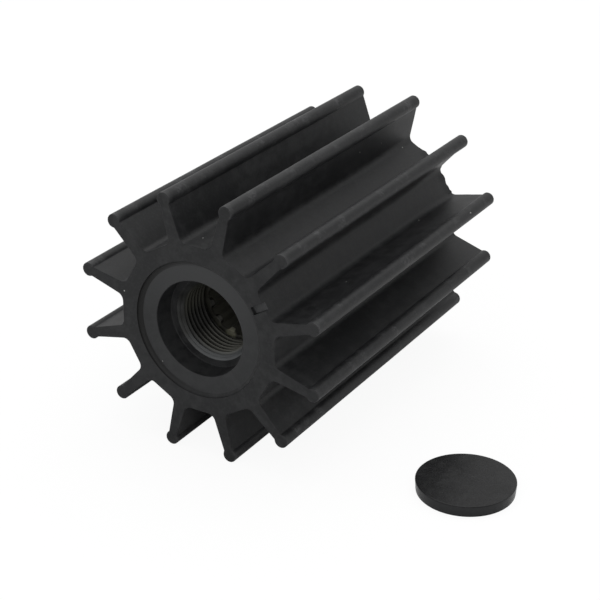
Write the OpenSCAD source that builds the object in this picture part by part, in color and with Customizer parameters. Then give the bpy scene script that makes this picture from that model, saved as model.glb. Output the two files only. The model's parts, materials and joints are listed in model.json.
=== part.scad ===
// Flexible pump impeller: a rubber body moulded on a metal drive insert,
// with the rubber plug of its hub lying beside it.
// The shaft axis runs along Y, the hub's threaded end faces -Y, and +Z is up.
// The origin is on the axis, at the mouth of the seat for the plug.

/* [Rubber body] */
// Diameter over the blade tips
impeller_d = 77.3; // [74:0.1:86]
// Length of the hub and the blades
body_len = 103.8; // [85:0.2:120]
// Distance across two opposite flats of the hub
hub_flats = 48.5; // [47:0.1:52]

/* [Blades] */
// Number of blades
blade_count = 12; // [9:1:13]
// Diameter of the round bead along each blade tip
bead_d = 3.95; // [3.4:0.05:4.6]
// Thickness of a blade just under its bead
neck_t = 2.8; // [2:0.1:3.2]
// Thickness of a blade where it meets the hub
root_t = 4; // [3.3:0.1:4.6]
// Radius of the fillet between a blade and the hub
root_fillet = 2.2; // [1:0.1:2.6]

/* [Hub front] */
// Diameter of the shallow recess in the hub's front face
recess_d = 39.2; // [37:0.2:40]
// Depth of that recess
recess_depth = 0.95; // [0.5:0.05:2]
// Width of the curve between the floor and the edge of that recess
recess_curve = 1.35; // [0.3:0.05:2]
// Diameter of the seat for the plug
seat_d = 27.5; // [26.8:0.1:29.2]
// Depth of the seat, from the floor of the recess
seat_depth = 6.7; // [4.5:0.1:9]
// Thickness of the rubber skin over the insert's front shoulder
skin_t = 0.8; // [0.5:0.1:2]
// Width of the notch in the front face
notch_w = 2.2; // [1.6:0.1:4]
// Depth of the notch
notch_depth = 1; // [0.6:0.1:2]
// Distance from the axis to the inner end of the notch
notch_start = 20.1; // [19:0.1:22]
// How many blade gaps the notch lies from the lowest one
notch_gap = 4; // [0:1:8]

/* [Drive insert] */
// Outer diameter of the insert
insert_d = 31; // [29:0.5:34]
// How far the insert lies inside the rear face
rear_setback = 1; // [0.5:0.1:3]
// Major diameter of the puller thread
thread_d = 22.2; // [21:0.1:23]
// Pitch of the puller thread
thread_pitch = 1.59; // [1:0.01:2]
// Length of the puller thread
thread_len = 10.3; // [7:0.1:14]
// Length of the smooth mouth in front of the thread, with its chamfer
mouth_len = 1.9; // [1.5:0.1:4]
// How much wider than the thread that mouth is
mouth_gap = 0.1; // [0.05:0.05:0.4]
// Width of the chamfer at that mouth
mouth_chamfer = 0.6; // [0.3:0.1:1]
// Width of the flat lip round the chamfer
lip_w = 0.2; // [0.15:0.05:0.6]
// Length of the relief groove behind the thread
relief_len = 0.4; // [0.3:0.1:3]
// Number of spline teeth
spline_teeth = 12; // [9:1:13]
// Diameter over the crests of the spline teeth
spline_minor_d = 17.6; // [17:0.1:18.6]
// Diameter at the bottom of the spline grooves
spline_major_d = 20; // [19.2:0.1:20]
// Width of a spline groove between the crests of two teeth
groove_w = 3.3; // [2.6:0.1:3.5]
// Width of a spline groove at its bottom
groove_end_w = 1.9; // [1.4:0.1:2.4]
// Lead-in chamfer at both ends of the spline teeth
lead_in = 0.3; // [0.2:0.1:0.9]

/* [Plug] */
// Thickness of the plug
plug_t = 3.2; // [2:0.1:4]
// Clearance all round the plug when it is in its seat
plug_gap = 0.3; // [0.1:0.05:0.6]
// How much smaller the plug's radius is on its lower side
plug_taper = 0.25; // [0:0.05:1]
// Break on the plug's edges
plug_edge = 0.2; // [0.1:0.05:0.4]
// Free space between the blade tips and the plug lying beside them
plug_beside = 18.5; // [5:0.5:40]
// How far behind the front face the plug's centre lies
plug_behind = 20.5; // [14:0.1:80]

/* [Hidden] */

// How far a cut runs past the face that it opens
over = 1;
// Steps in a quarter turn of a rounded outline
arc_steps = 8;
// Depth of a 60 degree thread as a share of its pitch
thread_share = 0.5413;
$fn = 96;

pitch_angle = 360 / blade_count;
front = -recess_depth;
rear = front + body_len;

hub_apothem = hub_flats / 2;
bead_r = bead_d / 2;
bead_at = impeller_d / 2 - bead_r;
bead_drop = sqrt(pow(bead_r, 2) - pow(neck_t / 2, 2));
floor_z = -(bead_at * cos(pitch_angle / 2) + bead_r);

insert_front = seat_depth + skin_t;
insert_rear = rear - rear_setback;
thread_minor_d = thread_d - 2 * thread_share * thread_pitch;
mouth_end = seat_depth + mouth_len;
thread_end = mouth_end + thread_len;
spline_front = thread_end + relief_len;
mouth_r = (thread_d + mouth_gap) / 2;
lip_r = mouth_r + mouth_chamfer + lip_w;

plug_d = seat_d - 2 * plug_gap;
plug_x = impeller_d / 2 + plug_beside + plug_d / 2;
plug_y = front + plug_behind;

// Points on an arc about a centre, from one angle to another
function arc(centre, radius, from, to) =
    let (steps = max(2, ceil(abs(to - from) / 90 * arc_steps)))
    [for (i = [0 : steps])
        let (a = from + (to - from) * i / steps)
        centre + radius * [cos(a), sin(a)]];

function turned(points, a) =
    [for (p = points) [p.x * cos(a) - p.y * sin(a), p.x * sin(a) + p.y * cos(a)]];

function reversed(points) =
    [for (i = [len(points) - 1 : -1 : 0]) points[i]];

function mirrored(points) =
    [for (p = points) [p.x, -p.y]];

// One side of a blade along the local X axis: the fillet from the hub's flat
// into the flank, then the bead from the neck to the tip
function blade_side() =
    let (
        neck = [bead_at - bead_drop, neck_t / 2],
        slope = (root_t - neck_t) / 2 / (neck.x - hub_apothem),
        flank = [slope, 1] / norm([slope, 1]),
        flat = [cos(pitch_angle / 2), sin(pitch_angle / 2)],
        off_flank = flank * neck + root_fillet,
        off_flat = hub_apothem + root_fillet,
        det = cross(flank, flat),
        centre = [off_flank * flat.y - off_flat * flank.y, off_flat * flank.x - off_flank * flat.x] / det,
        fillet = arc(centre, root_fillet, 180 + pitch_angle / 2, 180 + atan2(flank.y, flank.x)),
        bead = arc([bead_at, 0], bead_r, 180 - asin(neck_t / bead_d), 0)
    )
    concat(fillet, bead);

function blade_outline() =
    let (side = blade_side(), to_tip = [for (i = [0 : len(side) - 2]) side[i]])
    concat(mirrored(side), reversed(to_tip));

// The whole section, with a gap between two blades straight below the axis
function body_outline() =
    [for (k = [0 : blade_count - 1])
        each turned(blade_outline(), 90 + (k + 0.5) * pitch_angle)];

module along_shaft() {
    rotate([-90, 0, 0]) children();
}

// Half section of the recess, whose floor curves up to its edge
module recess_cut() {
    r = recess_d / 2;
    curve = [for (i = [arc_steps : -1 : 0])
        let (a = 90 * i / arc_steps)
        [r - recess_curve * (1 - cos(a)), -recess_depth * (1 - sin(a))]];
    rotate_extrude() polygon(concat([[0, 0]], curve, [[r, front - over], [0, front - over]]));
}

module bore_cut(d, from, to) {
    translate([0, 0, from]) cylinder(d = d, h = to - from);
}

module notch_cut() {
    rotate([0, 0, 90 - notch_gap * pitch_angle])
        translate([notch_start, -notch_w / 2, front - over])
            cube([impeller_d / 2 - notch_start, notch_w, notch_depth + over]);
}

module rubber_body() {
    color([0.1, 0.1, 0.105])
    along_shaft()
    difference() {
        translate([0, 0, front]) linear_extrude(body_len) polygon(body_outline());
        recess_cut();
        bore_cut(seat_d, front - over, seat_depth);
        bore_cut(2 * lip_r, seat_depth - over, insert_front + over);
        bore_cut(insert_d, insert_front, rear + over);
        notch_cut();
    }
}

// Half section of the insert, as radius and distance along the shaft
module insert_section() {
    polygon([
        [lip_r, seat_depth],
        [lip_r, insert_front],
        [insert_d / 2, insert_front],
        [insert_d / 2, insert_rear],
        [spline_minor_d / 2 + lead_in, insert_rear],
        [spline_minor_d / 2, insert_rear - lead_in],
        [spline_minor_d / 2, spline_front + lead_in],
        [spline_minor_d / 2 + lead_in, spline_front],
        [mouth_r, spline_front],
        [mouth_r, thread_end],
        [thread_minor_d / 2, thread_end],
        [thread_minor_d / 2, mouth_end],
        [mouth_r, mouth_end],
        [mouth_r, seat_depth + mouth_chamfer],
        [mouth_r + mouth_chamfer, seat_depth]
    ]);
}

// Section of a groove that runs out along the local X axis, wider at the crests
// of the teeth than at its bottom
function groove_section() =
    let (
        crest = spline_minor_d / 2,
        bottom = spline_major_d / 2,
        lean = (groove_w - groove_end_w) / 2 / (bottom - crest),
        from = crest - over,
        to = bottom + over,
        wide = groove_w / 2 + lean * over,
        narrow = groove_end_w / 2 - lean * over
    )
    [[from, -wide], [to, -narrow], [to, narrow], [from, wide]];

module spline_grooves() {
    intersection() {
        bore_cut(spline_major_d, spline_front - relief_len / 2, insert_rear + over);
        for (k = [0 : spline_teeth - 1])
            rotate([0, 0, 90 + k * 360 / spline_teeth])
                translate([0, 0, spline_front - relief_len])
                    linear_extrude(insert_rear - spline_front + relief_len + 2 * over)
                        polygon(groove_section());
    }
}

module drive_insert() {
    color([0.66, 0.56, 0.33])
    along_shaft()
    difference() {
        rotate_extrude() insert_section();
        spline_grooves();
    }
}

module end_plug() {
    color([0.13, 0.13, 0.135])
    translate([plug_x, plug_y, floor_z])
    rotate_extrude()
    polygon([
        [0, 0],
        [plug_d / 2 - plug_taper - plug_edge, 0],
        [plug_d / 2 - plug_taper, plug_edge],
        [plug_d / 2, plug_t - plug_edge],
        [plug_d / 2 - plug_edge, plug_t],
        [0, plug_t]
    ]);
}

rubber_body();
drive_insert();
end_plug();
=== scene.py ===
# Rubber pump impeller: twelve blades moulded on a brass drive insert, with the end plug lying beside it
import json
import math
import bmesh
import bpy
from mathutils import Matrix, Vector


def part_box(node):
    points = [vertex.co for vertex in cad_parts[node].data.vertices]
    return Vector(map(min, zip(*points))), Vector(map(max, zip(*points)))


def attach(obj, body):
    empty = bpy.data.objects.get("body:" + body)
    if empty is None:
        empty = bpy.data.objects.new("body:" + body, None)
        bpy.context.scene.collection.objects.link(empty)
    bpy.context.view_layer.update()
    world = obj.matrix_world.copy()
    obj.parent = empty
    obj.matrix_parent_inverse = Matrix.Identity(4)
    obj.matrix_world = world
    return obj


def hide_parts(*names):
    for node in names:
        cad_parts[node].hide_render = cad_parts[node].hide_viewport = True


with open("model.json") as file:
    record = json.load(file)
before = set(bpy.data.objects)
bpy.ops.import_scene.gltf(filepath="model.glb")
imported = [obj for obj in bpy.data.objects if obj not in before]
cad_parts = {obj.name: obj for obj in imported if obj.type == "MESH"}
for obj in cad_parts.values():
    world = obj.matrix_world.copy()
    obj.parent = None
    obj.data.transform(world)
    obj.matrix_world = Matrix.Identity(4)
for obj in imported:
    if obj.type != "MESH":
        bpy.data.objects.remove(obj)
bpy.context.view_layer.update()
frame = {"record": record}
mounts = {mount["name"]: mount for mount in frame["record"]["mounts"]}
mm = 0.001
mergeGap = 0.001 * mm
smallestRadius = 0.0001 * mm  # under this a ring of a turned shape is one point
noiseMiddle = 0.5  # the level that a noise texture varies about
toothCount = 12  # spline teeth in the drive insert
notchAngle = 30  # degrees from level, towards the top, of the notch in the hub's front edge
print("frame loaded")


# Node helpers

class Value:  # a node's output that takes part in Python sums, each of which adds a Math node
    def __init__(self, nodes, socket):
        self.nodes = nodes
        self.socket = socket

    def __add__(self, other):
        return self.nodes.maths("ADD", self, other)

    def __radd__(self, other):
        return self.nodes.maths("ADD", other, self)

    def __sub__(self, other):
        return self.nodes.maths("SUBTRACT", self, other)

    def __rsub__(self, other):
        return self.nodes.maths("SUBTRACT", other, self)

    def __mul__(self, other):
        return self.nodes.maths("MULTIPLY", self, other)

    def __rmul__(self, other):
        return self.nodes.maths("MULTIPLY", other, self)

    def __truediv__(self, other):
        return self.nodes.maths("DIVIDE", self, other)

    def __rtruediv__(self, other):
        return self.nodes.maths("DIVIDE", other, self)

    def __abs__(self):
        return self.nodes.maths("ABSOLUTE", self)

    def __gt__(self, other):
        return self.nodes.maths("GREATER_THAN", self, other)

    def __lt__(self, other):
        return self.nodes.maths("LESS_THAN", self, other)

    def within(self, low=0.0, high=1.0):
        return self.nodes.maths("MINIMUM", self.nodes.maths("MAXIMUM", self, low), high)

    def atLeast(self, other):
        return self.nodes.maths("MAXIMUM", self, other)

    def rise(self, start, reach):  # 0 up to the start and 1 from the end of the reach on
        return ((self - start) / reach).within()


class Nodes:  # adds nodes to one tree
    def __init__(self, tree):
        self.tree = tree

    def add(self, kind, settings=None, inputs=None):
        node = self.tree.nodes.new(kind)
        for name, value in (settings or {}).items():
            setattr(node, name, value)
        for key, value in (inputs or {}).items():
            self.feed(node.inputs[key], value)
        made = {}
        for number, socket in enumerate(node.outputs):
            made[number] = Value(self, socket)
            made.setdefault(socket.name, made[number])
        return made

    def feed(self, socket, value):
        if isinstance(value, Value):
            self.tree.links.new(value.socket, socket)
        elif isinstance(value, list):
            for one in value:
                self.tree.links.new(one.socket, socket)
        else:
            socket.default_value = value

    def maths(self, operation, *values):
        return self.add("ShaderNodeMath", {"operation": operation}, dict(enumerate(values)))[0]

    def vector(self, operation, *values):
        return self.add("ShaderNodeVectorMath", {"operation": operation}, dict(enumerate(values)))[0]

    def split(self, vector):
        parts = self.add("ShaderNodeSeparateXYZ", inputs={0: vector})
        return parts["X"], parts["Y"], parts["Z"]

    def combine(self, x, y, z):
        return self.add("ShaderNodeCombineXYZ", inputs={0: x, 1: y, 2: z})[0]

    def noise(self, place, scale, detail=2.0, roughness=0.5):
        given = {"Vector": place, "Scale": scale, "Detail": detail, "Roughness": roughness}
        return self.add("ShaderNodeTexNoise", inputs=given)

    def mixColour(self, factor, first, second):
        return self.add("ShaderNodeMix", {"data_type": "RGBA"}, {0: factor, 6: first, 7: second})[2]

    def attribute(self, name):
        return self.add("ShaderNodeAttribute", {"attribute_name": name})["Fac"]

    def bump(self, height, distance, strength):
        given = {"Strength": strength, "Distance": distance, "Height": height}
        return self.add("ShaderNodeBump", inputs=given)["Normal"]


def link(item):
    bpy.context.scene.collection.objects.link(item)
    return item


def runTree(name, mesh, inputs, build):  # runs a node tree on a mesh and returns the plain mesh it makes
    kinds = {int: "NodeSocketInt", float: "NodeSocketFloat", bpy.types.Material: "NodeSocketMaterial"}
    tree = bpy.data.node_groups.new(name, "GeometryNodeTree")
    tree.interface.new_socket("Geometry", in_out="INPUT", socket_type="NodeSocketGeometry")
    tree.interface.new_socket("Geometry", in_out="OUTPUT", socket_type="NodeSocketGeometry")
    sockets = {}
    for label, value in inputs.items():
        sockets[label] = tree.interface.new_socket(label, in_out="INPUT", socket_type=kinds[type(value)])
    nodes = Nodes(tree)
    nodes.add("NodeGroupOutput", inputs={0: build(nodes, nodes.add("NodeGroupInput"))})
    carrier = link(bpy.data.objects.new(name, mesh))
    modifier = carrier.modifiers.new(name, "NODES")
    modifier.node_group = tree
    for label, value in inputs.items():
        modifier[sockets[label].identifier] = value
    grown = bpy.data.meshes.new_from_object(carrier.evaluated_get(bpy.context.evaluated_depsgraph_get()))
    carrier.modifiers.remove(modifier)
    bpy.data.objects.remove(carrier)
    return grown


def copiesRound(nodes, patch, count):  # copies of a patch round the shaft, and the number of each
    points = nodes.add("GeometryNodePoints", inputs={"Count": count})[0]
    number = nodes.add("GeometryNodeInputIndex")[0]
    turned = nodes.combine(0.0, (number + 0.5) * (math.tau / count), 0.0)
    placed = {"Points": points, "Instance": patch, "Rotation": turned}
    return nodes.add("GeometryNodeInstanceOnPoints", inputs=placed)[0], number


# Mesh helpers

def roundCorners(corners, steps=3):  # corners are (a, b, rounding), and the ends stay as they are
    points = [Vector(corners[0][:2])]
    for before, corner, after in zip(corners, corners[1:], corners[2:]):
        middle = Vector(corner[:2])
        if not corner[2]:
            points.append(middle)
            continue
        start = middle + (Vector(before[:2]) - middle).normalized() * corner[2]
        end = middle + (Vector(after[:2]) - middle).normalized() * corner[2]
        for step in range(steps + 1):
            share = step / steps
            points.append(start * (1 - share) ** 2 + middle * 2 * share * (1 - share) + end * share ** 2)
    return points + [Vector(corners[-1][:2])]


def turn(target, profile, segments):  # a surface turned round the shaft's axis, from (radius, y) points
    angles = [math.tau * i / segments for i in range(segments)]
    rings = []
    for radius, y in profile:
        if radius < smallestRadius:
            rings.append([target.verts.new((0, y, 0))] * segments)
            continue
        rings.append([target.verts.new((radius * math.cos(a), y, radius * math.sin(a))) for a in angles])
    for near, far in zip(rings, rings[1:]):
        for i in range(segments):
            j = (i + 1) % segments
            target.faces.new(list(dict.fromkeys([near[i], near[j], far[j], far[i]])))


def newMesh(name, work):  # a plain mesh from a finished bmesh
    mesh = bpy.data.meshes.new(name)
    work.to_mesh(mesh)
    work.free()
    return mesh


def closeMesh(name, parts, sharpAngle):  # joins parts where they meet, with smooth faces turned outwards
    whole = bmesh.new()
    for part in parts:
        whole.from_mesh(part)
    bmesh.ops.remove_doubles(whole, verts=whole.verts, dist=mergeGap)
    bmesh.ops.recalc_face_normals(whole, faces=whole.faces)
    mesh = newMesh(name, whole)
    mesh.shade_smooth()
    mesh.set_sharp_from_angle(angle=math.radians(sharpAngle))
    return mesh


def addPiece(name, mesh, material, node):
    piece = link(bpy.data.objects.new(name, mesh))
    mesh.materials.clear()
    mesh.materials.append(material)
    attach(piece, "root")
    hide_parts(node)


# Materials

def newMaterial(name):
    material = bpy.data.materials.new(name)
    material.use_nodes = True
    material.node_tree.nodes.clear()
    return material, Nodes(material.node_tree)


def mouldedRubber(name, look):  # matt black rubber with bloom, moulding streaks, scuffs and specks of dust, and on the body painted light and shade
    material, nodes = newMaterial(name)
    place = nodes.add("ShaderNodeTexCoord")["Object"]
    x, y, z = nodes.split(place)
    alongShaft = nodes.combine(x, y * look["streakStretch"], z)
    cloud = nodes.noise(place, look["cloudScale"], detail=3.0)["Fac"]
    streak = nodes.noise(alongShaft, look["streakScale"])["Fac"]
    mottle = nodes.noise(place, look["mottleScale"], detail=3.0, roughness=0.6)["Fac"]
    grain = nodes.noise(place, look["grainScale"], detail=3.0, roughness=0.6)["Fac"]
    fleck = nodes.noise(place, look["fleckScale"], roughness=0.6)["Fac"]

    clouded = (cloud - look["cloudFrom"]) * look["cloudShare"]
    streaked = (streak - noiseMiddle) * look["streakShare"]
    mottled = (mottle - noiseMiddle) * look["mottleShare"]
    bloom = (clouded + streaked + mottled).within()
    colour = nodes.mixColour(bloom, look["dark"], look["light"])
    flecked = ((fleck - noiseMiddle) * look["fleckGain"]).within() * look["fleckStrength"]
    colour = nodes.mixColour(flecked, colour, look["fleckColour"])
    if look["wornAndLit"]:
        colour = wearAndPaintedLight(nodes, place, colour, fleck, look)
    else:
        onSide = (z < look["sideTop"]) * look["sideShare"]
        colour = nodes.mixColour(onSide, colour, look["fleckColour"])
    dustCells = nodes.add("ShaderNodeTexVoronoi", inputs={"Vector": place, "Scale": look["dustScale"]})
    dust = (dustCells["Distance"] < look["dustSize"] * look["dustScale"]) * look["dustStrength"]
    colour = nodes.mixColour(dust, colour, look["dustColour"])

    bloomed = look["roughness"] + bloom * look["bloomRoughness"]
    rubber = nodes.add("ShaderNodeBsdfPrincipled", inputs={
        "Base Color": colour,
        "Roughness": bloomed + (grain - noiseMiddle) * look["grainRoughness"],
        "Specular IOR Level": look["specular"],
        "Normal": nodes.bump(grain, look["grainDepth"], look["grainStrength"]),
    })
    nodes.add("ShaderNodeOutputMaterial", inputs={"Surface": rubber[0]})
    return material


def wearAndPaintedLight(nodes, place, colour, fleck, look):  # scuffed beads with painted highlights on their front rims, the recess floor painted lighter towards its top, painted shade on the recess curve and a painted reflection on the notch floor
    x, y, z = nodes.split(place)
    patches = nodes.noise(place, look["scuffScale"], detail=3.0, roughness=0.65)["Fac"]
    scuffed = ((patches - look["scuffFrom"]) * look["scuffGain"]).within()
    broken = ((fleck - look["scuffBreak"]) * look["scuffBreakGain"]).within()
    rub = scuffed * broken * nodes.attribute("bead")
    colour = nodes.mixColour(rub * look["scuffStrength"], colour, look["scuffAndHighlightColour"])
    # Painted highlight: the front rims of the beads are lightened
    colour = nodes.mixColour(nodes.attribute("rimHighlight") * look["rimHighlightStrength"], colour, look["scuffAndHighlightColour"])

    # The floor of the recess is lighter, and painted lighter still towards its top, where the light falls
    distance = nodes.maths("SQRT", x * x + z * z)
    onFloor = abs(y) < look["floorGap"]
    onRing = (distance < look["ringRadius"]) * onFloor
    upper = (z / look["ringRadius"]).within() * look["ringRise"] + look["ringShare"]
    colour = nodes.mixColour(onRing * upper, colour, look["litFloorColour"])

    # Painted shade: the curve at its edge has a dark line away from the plug, where the wall is in shade
    onCurve = (look["curveFrom"] < distance) * (distance < look["curveTo"]) * (abs(y) < look["curveGap"])
    curveShade = (look["curveShare"] - x / look["curveTo"]).within() * onCurve
    colour = nodes.mixColour(curveShade, colour, look["curveShadeColour"])

    # Painted reflection: the notch's floor is lightened, as a smooth floor showing the white surroundings
    outwards = x * look["notchWay"][0] + z * look["notchWay"][1]
    sideways = z * look["notchWay"][0] - x * look["notchWay"][1]
    inNotch = (look["notchFrom"] < outwards) * (abs(sideways) < look["notchHalf"]) * onFloor
    return nodes.mixColour(inNotch, colour, look["litFloorColour"])


def turnedBrass(name, look):  # dull turned brass, grimy in the bore with painted light and highlights on its lower right, stained at its mouth, clean at the rear
    material, nodes = newMaterial(name)
    place = nodes.add("ShaderNodeTexCoord")["Object"]
    x, y, z = nodes.split(place)
    tarnish = nodes.noise(place, look["tarnishScale"], detail=4.0, roughness=0.6)["Fac"]
    marks = nodes.noise(nodes.combine(0.0, y, 0.0), look["markScale"])["Fac"]
    distance = nodes.maths("SQRT", x * x + z * z)
    dulled = tarnish.rise(look["dullFrom"], look["dullReach"])

    # The thread is grimy, with the crests worn and painted lighter on the lower right side, where the light
    # falls, and a lighter haze on the upper left
    side = (x * look["litWay"][0] + z * look["litWay"][1]) / look["litReach"] + look["litShare"]
    litSide = side.within()
    inGroove = distance.rise(look["grooveFrom"], look["grooveReach"])
    hazed = (look["hazeFrom"] - side * look["hazeShare"]).within()
    colour = nodes.mixColour(hazed, look["grimeAndShade"], look["haze"])
    colour = nodes.mixColour(litSide * (1 - inGroove), colour, look["wornAndLit"])

    # Behind it the ends of the teeth are lighter than the grooves, with a painted highlight of bright brass
    # on the lit lower right side
    behind = y.rise(look["behindFrom"], look["behindReach"])
    deepIn = y.rise(look["deepFrom"], look["deepReach"])
    shining = litSide.rise(look["shineFrom"], look["shineReach"])
    toothWave = nodes.maths("COSINE", nodes.maths("ARCTAN2", z, x) * look["teeth"])
    atTooth = (look["toothShare"] - toothWave * look["toothSoft"]).within()
    clearer = (atTooth * look["toothClear"]).atLeast(deepIn)
    innerShare = behind * (clearer * (1 - look["betweenTeeth"]) + look["betweenTeeth"])
    colour = nodes.mixColour(innerShare, colour, look["inner"])
    toothHighlight = behind * atTooth * (1 - deepIn) * shining
    colour = nodes.mixColour(toothHighlight, colour, nodes.mixColour(dulled, look["bright"], look["dull"]))
    # Painted shade: the lead-ins of the teeth are darkened, less on the lit lower right side
    onLead = (look["leadFrom"] < y) * (y < look["leadTo"]) * (distance < look["leadRadius"])
    leadShade = onLead * (1 - shining * look["leadLit"]) * look["leadShare"]
    colour = nodes.mixColour(leadShade, colour, look["grimeAndShade"])

    # Both ends: a stain at the mouth, painted lighter towards the lit lower right side and darker on the
    # upper left, and turned brass at the rear
    litStained = litSide * (1 - look["stainLeast"]) + look["stainLeast"]
    litStained = (litStained + (tarnish - noiseMiddle) * look["stainSpread"]).within()
    litStain = nodes.mixColour(litStained, look["grimeAndShade"], look["litStain"])
    colour = nodes.mixColour(1 - y.rise(look["mouthEnd"], look["mouthReach"]), colour, litStain)
    rearBrass = nodes.mixColour(dulled, look["rearBright"], look["rearDull"])
    colour = nodes.mixColour(y.rise(look["rearFrom"], look["rearReach"]), colour, rearBrass)
    metal = nodes.add("ShaderNodeBsdfPrincipled", inputs={
        "Base Color": colour,
        "Metallic": look["metallic"],
        "Specular IOR Level": look["specular"],
        "Roughness": look["roughness"] + dulled * look["dullRoughness"],
        "Normal": nodes.bump(marks, look["markDepth"], look["markStrength"]),
    })
    nodes.add("ShaderNodeOutputMaterial", inputs={"Surface": metal[0]})
    return material


bodyLook = {
    "dark": (0.0095, 0.0098, 0.0104, 1),
    "light": (0.0185, 0.0189, 0.0195, 1),
    "roughness": 0.5,
    "bloomRoughness": 0.06,
    "grainRoughness": 0.1,
    "specular": 0.19,
    "cloudScale": 45.0,
    "cloudFrom": 0.4,
    "cloudShare": 3.0,
    "streakScale": 420.0,
    "streakStretch": 0.06,
    "streakShare": 2.0,
    "mottleScale": 330.0,
    "mottleShare": 4.0,
    "fleckScale": 1500.0,
    "fleckGain": 5.0,
    "fleckStrength": 0.22,
    "fleckColour": (0.034, 0.035, 0.036, 1),
    "grainScale": 2600.0,
    "grainDepth": 0.045 * mm,
    "grainStrength": 0.35,
    "dustScale": 125.0,
    "dustSize": 0.22 * mm,
    "dustStrength": 0.8,
    "dustColour": (0.45, 0.45, 0.43, 1),
    "wornAndLit": True,
    "scuffScale": 160.0,
    "scuffFrom": 0.52,
    "scuffGain": 6.0,
    "scuffBreak": 0.35,
    "scuffBreakGain": 4.0,
    "scuffStrength": 0.5,
    "scuffAndHighlightColour": (0.07, 0.071, 0.073, 1),
    "rimHighlightStrength": 0.2,
    "floorGap": 0.3 * mm,
    "ringRadius": 18.6 * mm,
    "ringShare": 0.34,
    "ringRise": 0.55,
    "litFloorColour": (0.04, 0.041, 0.042, 1),
    "curveFrom": 18.2 * mm,
    "curveTo": 19.65 * mm,
    "curveGap": 1.2 * mm,
    "curveShare": 0.2,
    "curveShadeColour": (0.003, 0.003, 0.003, 1),
    "notchWay": (math.cos(math.radians(notchAngle)), math.sin(math.radians(notchAngle))),
    "notchFrom": 20.3 * mm,
    "notchHalf": 1.0 * mm,
}
plugLook = {
    **bodyLook,
    "dark": (0.0105, 0.0107, 0.0111, 1),
    "light": (0.014, 0.0143, 0.0147, 1),
    "roughness": 0.22,
    "specular": 0.12,
    "cloudScale": 90.0,
    "wornAndLit": False,
    "sideTop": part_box("end_plug")[1].z - 0.3 * mm,  # just under the rounded top edge
    "sideShare": 0.5,
}
insertLook = {
    "bright": (0.29, 0.285, 0.215, 1),
    "dull": (0.18, 0.175, 0.13, 1),
    "wornAndLit": (0.12, 0.119, 0.104, 1),
    "grimeAndShade": (0.013, 0.0129, 0.0119, 1),
    "haze": (0.026, 0.0258, 0.0205, 1),
    "inner": (0.095, 0.093, 0.076, 1),
    "litStain": (0.12, 0.125, 0.128, 1),
    "rearBright": (0.36, 0.30, 0.17, 1),
    "rearDull": (0.20, 0.17, 0.10, 1),
    "metallic": 0.6,
    "specular": 0.12,
    "roughness": 0.42,
    "dullRoughness": 0.1,
    "tarnishScale": 180.0,
    "dullFrom": 0.4,
    "dullReach": 0.25,
    "markScale": 3500.0,
    "markDepth": 0.02 * mm,
    "markStrength": 0.3,
    "litWay": (0.75, -0.66),
    "litReach": 13.0 * mm,
    "litShare": 0.12,
    "shineFrom": 0.12,
    "shineReach": 0.2,
    "hazeFrom": -1.6,
    "hazeShare": 5.0,
    "grooveFrom": 10.4 * mm,
    "grooveReach": 0.6 * mm,
    "mouthEnd": 7.5 * mm,
    "mouthReach": 2.0 * mm,
    "stainLeast": 0.15,
    "stainSpread": 0.6,
    "teeth": toothCount,
    "toothShare": 0.6,
    "toothSoft": 0.9,
    "toothClear": 0.2,
    "betweenTeeth": 0.3,
    "behindFrom": 18.9 * mm,
    "behindReach": 0.3 * mm,
    "deepFrom": 19.4 * mm,
    "deepReach": 0.8 * mm,
    "leadFrom": 19.35 * mm,
    "leadTo": 20.3 * mm,
    "leadRadius": 9.8 * mm,
    "leadLit": 0.55,
    "leadShare": 0.8,
    "rearFrom": 80.0 * mm,
    "rearReach": 20.0 * mm,
}
bodyRubber = mouldedRubber("bodyRubber", bodyLook)
plugRubber = mouldedRubber("plugRubber", plugLook)
insertBrass = turnedBrass("insertBrass", insertLook)
print("materials made")


# Rubber body: a blade's outline is swept along the hub, closed at both ends and repeated round the shaft

bodyLow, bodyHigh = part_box("rubber_body")
insertLow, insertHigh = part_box("drive_insert")
seatRadius = mounts["plug_seat"]["dims"]["r_mm"] * mm
seatDepth = mounts["plug_seat"]["dims"]["length_mm"] * mm

blade = {
    "count": 12,
    "beadRadius": 1.975 * mm,
    "neckHalf": 1.4 * mm,
    "rootHalf": 2.0 * mm,
    "rootFillet": 2.2 * mm,
    "neckFillet": 0.5 * mm,
    "flatDistance": 24.25 * mm,
    "flatSteps": 3,
    "acrossSteps": 6,
    "rootSteps": 8,
    "flankSteps": 5,
    "neckSteps": 3,
    "beadSteps": 12,
    "lengthSteps": 56,
    "roundSteps": 2,
    "ringSteps": 2,
    "edgeRounding": 0.18 * mm,
    "leanFrom": 26.0 * mm,
    "firstLean": 0.17 * mm,
    "lastLean": -0.25 * mm,
    "ripple": 0.05 * mm,
    "rippleScale": 38.0,
    "flash": 0.75 * mm,
    "flashScale": 420.0,
    "flashFrom": 0.47,
    "flashGain": 5.0,
    "seed": 8112,
}
hub = {
    "recessRadius": 19.6 * mm,
    "recessCurve": 1.35 * mm,
    "rimRound": 0.25 * mm,
    "floorRound": 0.3 * mm,
    "curveSteps": 9,
    "lipRadius": 11.95 * mm,
    "shoulder": 7.5 * mm,
    "notchWidth": 2.2 * mm,
    "notchDepth": 1.0 * mm,
    "notchStart": 20.1 * mm,
    "notchEnd": 40.0 * mm,
    "sharpAngle": 20,
}
insertRadius = insertHigh.x
halfPitch = math.pi / blade["count"]
beadDistance = (-bodyLow.z - blade["beadRadius"]) / math.cos(halfPitch)
hubSteps = blade["count"] * (2 * blade["flatSteps"] + blade["acrossSteps"])


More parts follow.
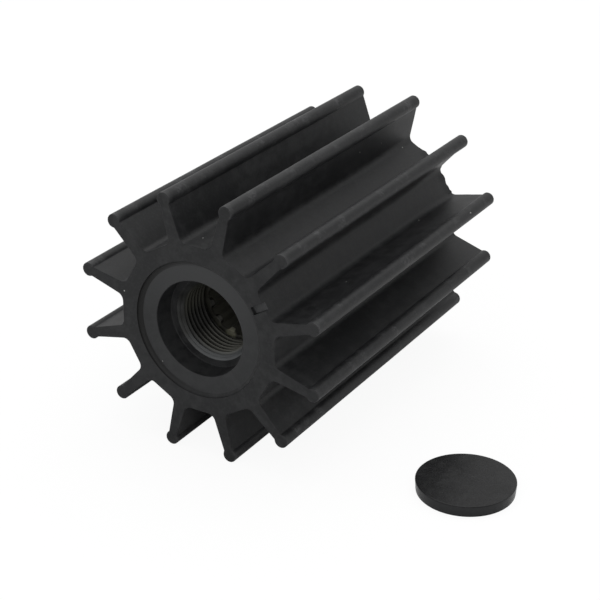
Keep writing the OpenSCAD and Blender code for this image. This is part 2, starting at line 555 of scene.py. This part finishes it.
def arc(centre, radius, start, end, steps, outwards):  # points on an arc, with the way the rubber faces
    points = []
    for step in range(steps + 1):
        angle = start + (end - start) * step / steps
        away = Vector((math.cos(angle), math.sin(angle)))
        points.append((centre + away * radius, away * outwards))
    return points


def between(first, second, steps, facing):  # the inner points of a straight stretch
    return [(first.lerp(second, step / steps), facing) for step in range(1, steps)]


def bladeSide():  # half of a blade's section, from the middle of the hub's flat to the tip
    beadCentre = Vector((beadDistance, 0))
    beadRadius = blade["beadRadius"]
    neckDrop = math.sqrt(beadRadius ** 2 - blade["neckHalf"] ** 2)
    neck = Vector((beadDistance - neckDrop, blade["neckHalf"]))
    slope = (blade["rootHalf"] - blade["neckHalf"]) / (neck.x - blade["flatDistance"])
    flank = Vector((slope, 1)).normalized()
    flankLine = flank.dot(neck)
    flat = Vector((math.cos(halfPitch), math.sin(halfPitch)))
    flankAngle = math.atan2(flank.y, flank.x)

    # The root fillet touches the flat and the flank
    fromFlank = flankLine + blade["rootFillet"]
    fromFlat = blade["flatDistance"] + blade["rootFillet"]
    cross = flank.x * flat.y - flank.y * flat.x
    across = Vector((fromFlank * flat.y - fromFlat * flank.y, fromFlat * flank.x - fromFlank * flat.x))
    rootTurn = (math.pi + halfPitch, math.pi + flankAngle)
    root = arc(across / cross, blade["rootFillet"], *rootTurn, blade["rootSteps"], -1)

    # The neck fillet touches the flank and the bead
    along = Vector((flank.y, -flank.x))
    start = flank * (flankLine + blade["neckFillet"]) - beadCentre
    reach = start.dot(along)
    gap = start.length_squared - (beadRadius + blade["neckFillet"]) ** 2
    neckCentre = beadCentre + start + along * (-reach - math.sqrt(reach ** 2 - gap))
    toBead = beadCentre - neckCentre
    beadAngle = math.atan2(toBead.y, toBead.x)
    neckArc = arc(neckCentre, blade["neckFillet"], flankAngle - math.pi, beadAngle, blade["neckSteps"], -1)
    bead = arc(beadCentre, beadRadius, beadAngle + math.pi, 0, blade["beadSteps"], 1)

    flatMiddle = flat * blade["flatDistance"]
    side = [(flatMiddle, flat)] + between(flatMiddle, root[0][0], blade["flatSteps"], flat) + root
    side += between(root[-1][0], neckArc[0][0], blade["flankSteps"], flank) + neckArc
    return side + bead[1:]


def outlineMesh(side):  # the points as a mesh, with the way each faces as an attribute
    mesh = bpy.data.meshes.new("bladeOutline")
    mesh.from_pydata([(point.x, 0, point.y) for point, facing in side], [], [])
    ways = mesh.attributes.new("facing", "FLOAT_VECTOR", "POINT")
    for item, (point, facing) in zip(ways.data, side):
        item.vector = (facing.x, 0, facing.y)
    return mesh


def bladesRoundHub(nodes, given):
    outline = given["Geometry"]
    front, rear, rounding = given["Front"], given["Rear"], given["Edge rounding"]
    lastPoint = len(outlinePoints) - 1
    placeField = nodes.add("GeometryNodeInputPosition")[0]
    named = {"data_type": "FLOAT_VECTOR"}
    facingField = nodes.add("GeometryNodeInputNamedAttribute", named, {"Name": "facing"})[0]

    def grid(columns, rows):  # a grid with the numbers of its columns and rows
        sheet = nodes.add("GeometryNodeMeshGrid", inputs={"Vertices X": columns + 1, "Vertices Y": rows + 1})
        column, row, _ = nodes.split(sheet["UV Map"])
        return sheet["Mesh"], nodes.maths("ROUND", column * columns), nodes.maths("ROUND", row * rows)

    def onOutline(index, inset):  # how far out and how far sideways an outline point lies
        taken = []
        for field in (placeField, facingField):
            wanted = {"Geometry": outline, "Value": field, "Index": index}
            taken.append(nodes.split(nodes.add("GeometryNodeSampleIndex", named, wanted)[0]))
        point, facing = taken
        return point[0] - facing[0] * inset, point[2] - facing[2] * inset

    def shape(mesh, outwards, along, sideways):
        place = nodes.combine(outwards, along, sideways)
        return nodes.add("GeometryNodeSetPosition", inputs={"Geometry": mesh, "Position": place})[0]

    def store(geometry, name, value, domain="POINT"):
        kinds = {"data_type": "FLOAT", "domain": domain}
        wanted = {"Geometry": geometry, "Name": name, "Value": value}
        return nodes.add("GeometryNodeStoreNamedAttribute", kinds, wanted)[0]

    def stored(name):
        return nodes.add("GeometryNodeInputNamedAttribute", {"data_type": "FLOAT"}, {"Name": name})[0]

    # The skin of one blade, with the flat on either side of it
    rounds, lengths = blade["roundSteps"], blade["lengthSteps"]
    mesh, column, row = grid(2 * lastPoint, lengths + 2 * rounds)
    index = lastPoint - abs(column - lastPoint)
    side = nodes.maths("SIGN", column - lastPoint)
    quarter = math.pi / 2
    frontTurn = (row / rounds).within() * quarter
    rearTurn = ((lengths + 2 * rounds - row) / rounds).within() * quarter
    inset = rounding * (2 - nodes.maths("SINE", frontTurn) - nodes.maths("SINE", rearTurn))
    edge = rounding * (1 - nodes.maths("COSINE", frontTurn) + nodes.maths("COSINE", rearTurn))
    straight = (rear - front - rounding * 2) * ((row - rounds) / lengths).within()
    outwards, sideways = onOutline(index, inset)
    skin = shape(mesh, outwards, front + edge + straight, sideways * side)
    onBead = (index - (lastPoint - blade["beadSteps"])).within()
    skin = store(skin, "bead", onBead)
    # the front rims of the beads, which get a painted highlight
    skin = store(skin, "rimHighlight", onBead * (1 + rounds - row).within())
    skin = store(skin, "flash", 1 - abs(row - (lengths + rounds)).within())

    # The flat end of the blade, from its root to its tip
    mesh, column, row = grid(lastPoint - blade["flatSteps"], blade["acrossSteps"])
    outwards, sideways = onOutline(column + blade["flatSteps"], rounding)
    across = row * (2 / blade["acrossSteps"]) - 1
    frontEnd = shape(mesh, outwards, front, sideways * across)
    moved = {"Geometry": frontEnd, "Translation": nodes.combine(0.0, rear - front, 0.0)}
    rearEnd = nodes.add("GeometryNodeTransform", inputs=moved)[0]

    # The hub's end face between the blades and a circle
    ringSpan = 2 * blade["flatSteps"] + blade["acrossSteps"]
    halfAcross = blade["acrossSteps"] / 2
    ends = []
    for circle, y in ((given["Recess radius"], front), (given["Insert radius"], rear)):
        mesh, column, row = grid(ringSpan, blade["ringSteps"])
        step = column - ringSpan / 2
        index = (ringSpan / 2 - abs(step)).within(0, blade["flatSteps"])
        outwards, sideways = onOutline(index, rounding)
        sideways = sideways * (abs(step) / halfAcross).within() * nodes.maths("SIGN", step)
        angle = step * (2 * halfPitch / ringSpan)
        share = row / blade["ringSteps"]
        outwards = outwards * (1 - share) + circle * nodes.maths("COSINE", angle) * share
        sideways = sideways * (1 - share) + circle * nodes.maths("SINE", angle) * share
        ends.append(shape(mesh, outwards, y, sideways))

    # One copy for each blade, which leans a little its own way
    sector = nodes.add("GeometryNodeJoinGeometry", inputs={0: [skin, frontEnd, rearEnd, *ends]})[0]
    copies, number = copiesRound(nodes, sector, given["Blade count"])
    leans = {2: given["First lean"], 3: given["Last lean"], "ID": number, "Seed": given["Seed"]}
    lean = nodes.add("FunctionNodeRandomValue", {"data_type": "FLOAT"}, leans)
    copies = store(copies, "lean", lean[1], "INSTANCE")
    whole = nodes.add("GeometryNodeRealizeInstances", inputs={0: copies})[0]
    whole = nodes.add("GeometryNodeMergeByDistance", inputs={"Geometry": whole, "Distance": mergeGap})[0]

    # Lean, ripple and the thin flash at the mould's parting line
    place = nodes.add("GeometryNodeInputPosition")[0]
    x, y, z = nodes.split(place)
    distance = nodes.maths("SQRT", x * x + z * z)
    free = distance.rise(given["Lean from"], given["Tip distance"] - given["Lean from"])
    sway = stored("lean") * free * free / distance
    torn = nodes.noise(place, blade["flashScale"])["Fac"]
    torn = ((torn - blade["flashFrom"]) * blade["flashGain"]).within()
    ragged = torn * stored("flash") * (1 - free) * given["Flash"] / distance
    wave = nodes.noise(place, blade["rippleScale"], detail=1.0)["Color"]
    waveX, _, waveZ = nodes.split(nodes.vector("SUBTRACT", wave, (noiseMiddle, noiseMiddle, noiseMiddle)))
    ripple = free * given["Ripple"] * 2
    offsetX = z * sway + x * ragged + waveX * ripple
    offsetZ = z * ragged - x * sway + waveZ * ripple
    moved = {"Geometry": whole, "Offset": nodes.combine(offsetX, 0.0, offsetZ)}
    whole = nodes.add("GeometryNodeSetPosition", inputs=moved)[0]
    return nodes.add("GeometryNodeSetMaterial", inputs={"Geometry": whole, "Material": given["Rubber"]})[0]


outlinePoints = bladeSide()
bladeMesh = runTree("bladesRoundHub", outlineMesh(outlinePoints), {
    "Blade count": blade["count"],
    "Front": bodyLow.y,
    "Rear": bodyHigh.y,
    "Edge rounding": blade["edgeRounding"],
    "Recess radius": hub["recessRadius"] + hub["rimRound"],
    "Insert radius": insertRadius + hub["rimRound"],
    "Lean from": blade["leanFrom"],
    "Tip distance": beadDistance,
    "First lean": blade["firstLean"],
    "Last lean": blade["lastLean"],
    "Ripple": blade["ripple"],
    "Flash": blade["flash"],
    "Seed": blade["seed"],
    "Rubber": bodyRubber,
}, bladesRoundHub)
print("blades made:", len(bladeMesh.polygons), "faces")


def hubBore():  # the recess, the seat and the bore behind it, from the front ring to the rear ring
    edge = hub["rimRound"]
    curve = []
    for step in range(1, hub["curveSteps"] + 1):
        angle = math.pi / 2 * step / hub["curveSteps"]
        inwards = hub["recessCurve"] * (1 - math.cos(angle))
        curve.append((hub["recessRadius"] - inwards, bodyLow.y * (1 - math.sin(angle)), 0))
    corners = [
        (hub["recessRadius"] + edge, bodyLow.y, 0),
        (hub["recessRadius"], bodyLow.y, edge / 2),
        *curve,
        (seatRadius, 0, edge),
        (seatRadius, seatDepth, hub["floorRound"]),
        (hub["lipRadius"], seatDepth, 0),
        (hub["lipRadius"], hub["shoulder"], 0),
        (insertRadius, hub["shoulder"], 0),
        (insertRadius, bodyHigh.y, edge),
        (insertRadius + edge, bodyHigh.y, 0),
    ]
    bore = bmesh.new()
    turn(bore, roundCorners(corners), hubSteps)
    return newMesh("hubBore", bore)


def cutNotch(mesh):  # the small slot at the front edge of the hub, between two blades
    cutter = bmesh.new()
    size = Vector((hub["notchEnd"] - hub["notchStart"], 2 * hub["notchDepth"], hub["notchWidth"]))
    place = Vector(((hub["notchEnd"] + hub["notchStart"]) / 2, bodyLow.y, 0))
    bmesh.ops.create_cube(cutter, size=1, matrix=Matrix.Translation(place) @ Matrix.Diagonal((*size, 1)))
    cutter.transform(Matrix.Rotation(math.radians(-notchAngle), 4, "Y"))
    meshes = {"notched": mesh, "cutter": newMesh("notchCutter", cutter)}
    objects = [link(bpy.data.objects.new(name, data)) for name, data in meshes.items()]
    modifier = objects[0].modifiers.new("notch", "BOOLEAN")
    modifier.operation = "DIFFERENCE"
    modifier.solver = "EXACT"
    modifier.object = objects[1]
    cut = bpy.data.meshes.new_from_object(objects[0].evaluated_get(bpy.context.evaluated_depsgraph_get()))
    for item in objects:
        bpy.data.objects.remove(item)
    return cut


bodyMesh = cutNotch(closeMesh("rubberBody", [bladeMesh, hubBore()], hub["sharpAngle"]))
bodyMesh.set_sharp_from_angle(angle=math.radians(hub["sharpAngle"]))
addPiece("rubberBody", bodyMesh, bodyRubber, "rubber_body")
print("rubber body made:", len(bodyMesh.polygons), "faces")


# Drive insert: turned bore, puller thread and spline teeth

threadMount = mounts["puller_thread"]
insert = {
    "chamfer": 0.6 * mm,
    "mouthGap": 0.05 * mm,
    "threadPitch": 1.59 * mm,
    "threadDepth": 0.861 * mm,
    "threadCrest": 0.25,  # the flat on a turn's crest, as a share of the pitch
    "threadRoot": 0.125,
    "threadRows": 16,
    "threadPhase": 38,  # steps round the bore to where the first turn starts
    "mouthLength": 0.1 * mm,
    "reliefEnd": 19.3 * mm,
    "teeth": toothCount,
    "crestRadius": 8.8 * mm,
    "grooveRadius": 10.0 * mm,
    "grooveHalf": 1.65 * mm,
    "grooveEndHalf": 0.95 * mm,
    "frontLead": 0.8 * mm,
    "rearLead": 0.3 * mm,
    "cornerRound": 0.2 * mm,
    "edgeRound": 0.2 * mm,
    "lipRound": 0.08 * mm,
    "chamferRound": 0.05 * mm,
    "sharpAngle": 28,
}
threadMinor = threadMount["dims"]["r_mm"] * mm
threadStart = insertLow.y + insert["chamfer"] + insert["mouthLength"]
threadEnd = threadMount["pos_m"][1] + threadMount["dims"]["length_mm"] * mm
mouthRadius = threadMinor + insert["threadDepth"] + insert["mouthGap"]


def threadHelix(nodes, given):  # the profile of one turn, carried along the helix and cut off at both ends
    rows = insert["threadRows"]
    columns = math.ceil(((threadEnd - threadStart) / insert["threadPitch"] + 1) * insertSteps)
    sheet = nodes.add("GeometryNodeMeshGrid", inputs={"Vertices X": columns + 1, "Vertices Y": rows + 1})
    alongHelix, acrossTurn, _ = nodes.split(sheet["UV Map"])
    turned = nodes.maths("ROUND", alongHelix * columns) / insertSteps
    along = given["Start"] + given["Pitch"] * (turned + acrossTurn - 1)
    along = nodes.maths("MINIMUM", along.atLeast(given["Start"]), given["End"])
    flank = 1 - insert["threadCrest"] - insert["threadRoot"]
    groove = ((1 - insert["threadCrest"] - abs(acrossTurn * 2 - 1)) / flank).within()
    radius = given["Minor radius"] + given["Depth"] * groove
    frontCut = given["Mouth radius"] - (along - given["Start"])
    rearCut = given["Mouth radius"] - (given["End"] - along)
    radius = radius.atLeast(frontCut).atLeast(rearCut)
    angle = (turned + insert["threadPhase"] / insertSteps) * math.tau
    sideways = radius * nodes.maths("COSINE", angle)
    upwards = radius * nodes.maths("SINE", angle) * -1  # downwards, because the thread is right-handed
    place = nodes.combine(sideways, along, upwards)
    thread = nodes.add("GeometryNodeSetPosition", inputs={"Geometry": sheet["Mesh"], "Position": place})[0]
    thread = nodes.add("GeometryNodeMergeByDistance", inputs={"Geometry": thread, "Distance": mergeGap})[0]
    thread = nodes.add("GeometryNodeRealizeInstances", inputs={0: thread})[0]
    return nodes.add("GeometryNodeSetMaterial", inputs={"Geometry": thread, "Material": given["Brass"]})[0]


def toothSide():  # half of a spline tooth and half of the groove beside it
    halfTooth = math.pi / insert["teeth"]
    crest = halfTooth - math.asin(insert["grooveHalf"] / insert["crestRadius"])
    bottom = halfTooth - math.asin(insert["grooveEndHalf"] / insert["grooveRadius"])

    def at(radius, angle):
        return (radius * math.cos(angle), radius * math.sin(angle))

    corners = [
        (*at(insert["crestRadius"], crest / 2), 0),
        (*at(insert["crestRadius"], crest), insert["cornerRound"]),
        (*at(insert["grooveRadius"], bottom), insert["cornerRound"]),
        (*at(insert["grooveRadius"], halfTooth), 0),
    ]
    return [Vector(at(insert["crestRadius"], 0))] + roundCorners(corners, steps=2)


def toothPatch(side):  # the faces of one tooth, with its share of the insert's inner front and rear faces
    sector = [Vector((point.x, -point.y)) for point in reversed(side[1:])] + side
    front, rear = insert["reliefEnd"], insertHigh.y
    frontLead, rearLead = insert["frontLead"], insert["rearLead"]
    trims = [(front, frontLead), (front + frontLead / 2, frontLead / 2), (front + frontLead, 0)]
    trims += [(rear - rearLead, 0), (rear - rearLead / 2, rearLead / 2), (rear, rearLead)]
    halfTooth = math.pi / insert["teeth"]
    angles = [halfTooth * (2 * i / (len(sector) - 1) - 1) for i in range(len(sector))]
    tooth = bmesh.new()

    def circle(radius, y):
        return [tooth.verts.new((radius * math.cos(a), radius * math.sin(a), y)) for a in angles]

    rows = []
    for y, trim in trims:
        lowest = insert["crestRadius"] + trim
        rows.append([tooth.verts.new((*(p * max(1, lowest / p.length)), y)) for p in sector])
    rows.insert(0, circle(mouthRadius, front))
    rows.append(circle(insertRadius - insert["edgeRound"], rear))
    for near, far in zip(rows, rows[1:]):
        for i in range(len(sector) - 1):
            tooth.faces.new([near[i], near[i + 1], far[i + 1], far[i]])
    tooth.transform(Matrix.Rotation(math.radians(-90), 4, "X") @ Matrix.Scale(-1, 4, (0, 1, 0)))
    return newMesh("toothPatch", tooth)


def teethRoundBore(nodes, given):
    copies, _ = copiesRound(nodes, given["Geometry"], given["Count"])
    whole = nodes.add("GeometryNodeRealizeInstances", inputs={0: copies})[0]
    return nodes.add("GeometryNodeSetMaterial", inputs={"Geometry": whole, "Material": given["Brass"]})[0]


def insertShell():  # the turned faces from the rear rim round the outside to the thread, and the relief
    edge = insert["edgeRound"]
    chamferStart = mouthRadius + insert["chamfer"]
    outside = [
        (insertRadius - edge, insertHigh.y, 0),
        (insertRadius, insertHigh.y, edge),
        (insertRadius, hub["shoulder"], 0),
        (hub["lipRadius"], hub["shoulder"], 0),
        (hub["lipRadius"], insertLow.y, insert["lipRound"]),
        (chamferStart, insertLow.y, insert["chamferRound"]),
        (mouthRadius, insertLow.y + insert["chamfer"], insert["chamferRound"]),
        (mouthRadius, threadStart, 0),
    ]
    relief = [(mouthRadius, threadEnd), (mouthRadius, insert["reliefEnd"])]
    shell = bmesh.new()
    turn(shell, roundCorners(outside), insertSteps)
    turn(shell, relief, insertSteps)
    return newMesh("insertShell", shell)


toothPoints = toothSide()
insertSteps = insert["teeth"] * 2 * (len(toothPoints) - 1)
threadMesh = runTree("threadHelix", bpy.data.meshes.new("empty"), {
    "Start": threadStart,
    "End": threadEnd,
    "Pitch": insert["threadPitch"],
    "Minor radius": threadMinor,
    "Depth": insert["threadDepth"],
    "Mouth radius": mouthRadius,
    "Brass": insertBrass,
}, threadHelix)
teethMesh = runTree("splineTeeth", toothPatch(toothPoints), {
    "Count": insert["teeth"],
    "Brass": insertBrass,
}, teethRoundBore)
insertMesh = closeMesh("driveInsert", [threadMesh, teethMesh, insertShell()], insert["sharpAngle"])
addPiece("driveInsert", insertMesh, insertBrass, "drive_insert")
print("drive insert made:", len(insertMesh.polygons), "faces")


# End plug: a round rubber disc, a little narrower underneath

plugLow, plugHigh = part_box("end_plug")
plug = {
    "taper": 0.25 * mm,
    "topRound": 0.22 * mm,
    "footRound": 0.2 * mm,
    "footRings": (0.3, 0.6, 0.9),  # shares of the radius
    "topRings": (0.96, 0.9, 0.75, 0.6, 0.4, 0.2, 0),
    "segments": 128,
    "sharpAngle": 20,
}


def plugDisc():
    radius = (plugHigh.x - plugLow.x) / 2
    height = plugHigh.z - plugLow.z
    foot = radius - plug["taper"]
    corners = [(0, 0, 0)] + [(foot * share, 0, 0) for share in plug["footRings"]]
    corners += [(foot, 0, plug["footRound"]), (radius, height, plug["topRound"])]
    corners += [(radius * share, height, 0) for share in plug["topRings"]]
    disc = bmesh.new()
    turn(disc, roundCorners(corners), plug["segments"])
    upright = Matrix.Rotation(math.radians(90), 4, "X")
    place = Vector(((plugLow.x + plugHigh.x) / 2, (plugLow.y + plugHigh.y) / 2, plugLow.z))
    disc.transform(Matrix.Translation(place) @ upright)
    return newMesh("plugDisc", disc)


plugMesh = closeMesh("endPlug", [plugDisc()], plug["sharpAngle"])
addPiece("endPlug", plugMesh, plugRubber, "end_plug")
print("end plug made:", len(plugMesh.polygons), "faces")


# Floor, light and camera

studio = {
    "floorSize": 8.0,
    "floorGrey": 1.0,
    "bounceGrey": 0.4,
    "shadowShare": 0.08,
    "skyLevel": 0.73,
    "topLight": {"place": (-0.10, 0.35, 0.90), "aim": (0, 0.05, 0), "size": 1.0, "power": 4.1},
    "frontLight": {"place": (0.35, -0.90, 0.45), "aim": (0, 0.05, 0), "size": 1.0, "power": 3.7},
}


def seenBy(nodes):  # which light the camera sees, and which a reflection or glass shows
    path = nodes.add("ShaderNodeLightPath")
    return path["Is Camera Ray"], path["Is Glossy Ray"].atLeast(path["Is Transmission Ray"])


def makeFloor():  # white paper that keeps the object's shadow, and throws less light back onto the object
    material, nodes = newMaterial("studioFloor")
    camera, mirrored = seenBy(nodes)
    grey = (camera + mirrored) * (studio["floorGrey"] - studio["bounceGrey"]) + studio["bounceGrey"]
    paper = nodes.add("ShaderNodeBsdfDiffuse", inputs={"Color": grey})[0]
    white = nodes.add("ShaderNodeEmission", inputs={"Color": (1, 1, 1, 1), "Strength": 1.0})[0]
    share = camera * (1 - studio["shadowShare"])
    mixed = nodes.add("ShaderNodeMixShader", inputs={0: share, 1: paper, 2: white})[0]
    nodes.add("ShaderNodeOutputMaterial", inputs={"Surface": mixed})
    half = studio["floorSize"] / 2
    mesh = bpy.data.meshes.new("floor")
    corners = [(-half, -half), (half, -half), (half, half), (-half, half)]
    mesh.from_pydata([(x, y, bodyLow.z) for x, y in corners], [], [(0, 1, 2, 3)])
    mesh.materials.append(material)
    floor = link(bpy.data.objects.new("floor", mesh))


def makeSky():
    world = bpy.data.worlds.new("studioSky")
    world.use_nodes = True
    world.node_tree.nodes.clear()
    world.cycles.sampling_method = "NONE"
    nodes = Nodes(world.node_tree)
    camera, mirrored = seenBy(nodes)
    seen = camera.atLeast(mirrored)
    level = seen + (1 - seen) * studio["skyLevel"]
    sky = nodes.add("ShaderNodeBackground", inputs={"Color": (1, 1, 1, 1), "Strength": level})[0]
    nodes.add("ShaderNodeOutputWorld", inputs={"Surface": sky})
    bpy.context.scene.world = world


def makeLight(name, lamp):
    data = bpy.data.lights.new(name, "AREA")
    data.shape = "SQUARE"
    data.size = lamp["size"]
    data.energy = lamp["power"]
    light = link(bpy.data.objects.new(name, data))
    light.location = lamp["place"]
    aim = Vector(lamp["aim"]) - Vector(lamp["place"])
    light.rotation_euler = aim.to_track_quat("-Z", "Y").to_euler()


view = {
    "aim": (0.01991, 0.01879, 0.00594),
    "distance": 0.44,
    "azimuth": 30.941,
    "elevation": 25.45,
    "roll": 0.158,
    "lens": 98.915,
    "sensor": 36,
}


def makeCamera():
    azimuth, elevation = math.radians(view["azimuth"]), math.radians(view["elevation"])
    level = math.cos(elevation)
    back = Vector((math.sin(azimuth) * level, -math.cos(azimuth) * level, math.sin(elevation)))
    data = bpy.data.cameras.new("camera")
    data.lens = view["lens"]
    data.sensor_width = view["sensor"]
    camera = link(bpy.data.objects.new("camera", data))
    turned = (-back).to_track_quat("-Z", "Y").to_matrix().to_4x4()
    rolled = turned @ Matrix.Rotation(math.radians(view["roll"]), 4, "Z")
    camera.matrix_world = Matrix.Translation(Vector(view["aim"]) + back * view["distance"]) @ rolled
    bpy.context.scene.camera = camera


makeFloor()
makeSky()
makeLight("topLight", studio["topLight"])
makeLight("frontLight", studio["frontLight"])
makeCamera()
bpy.context.scene.view_settings.view_transform = "Standard"
print("studio made")

bpy.context.view_layer.update()
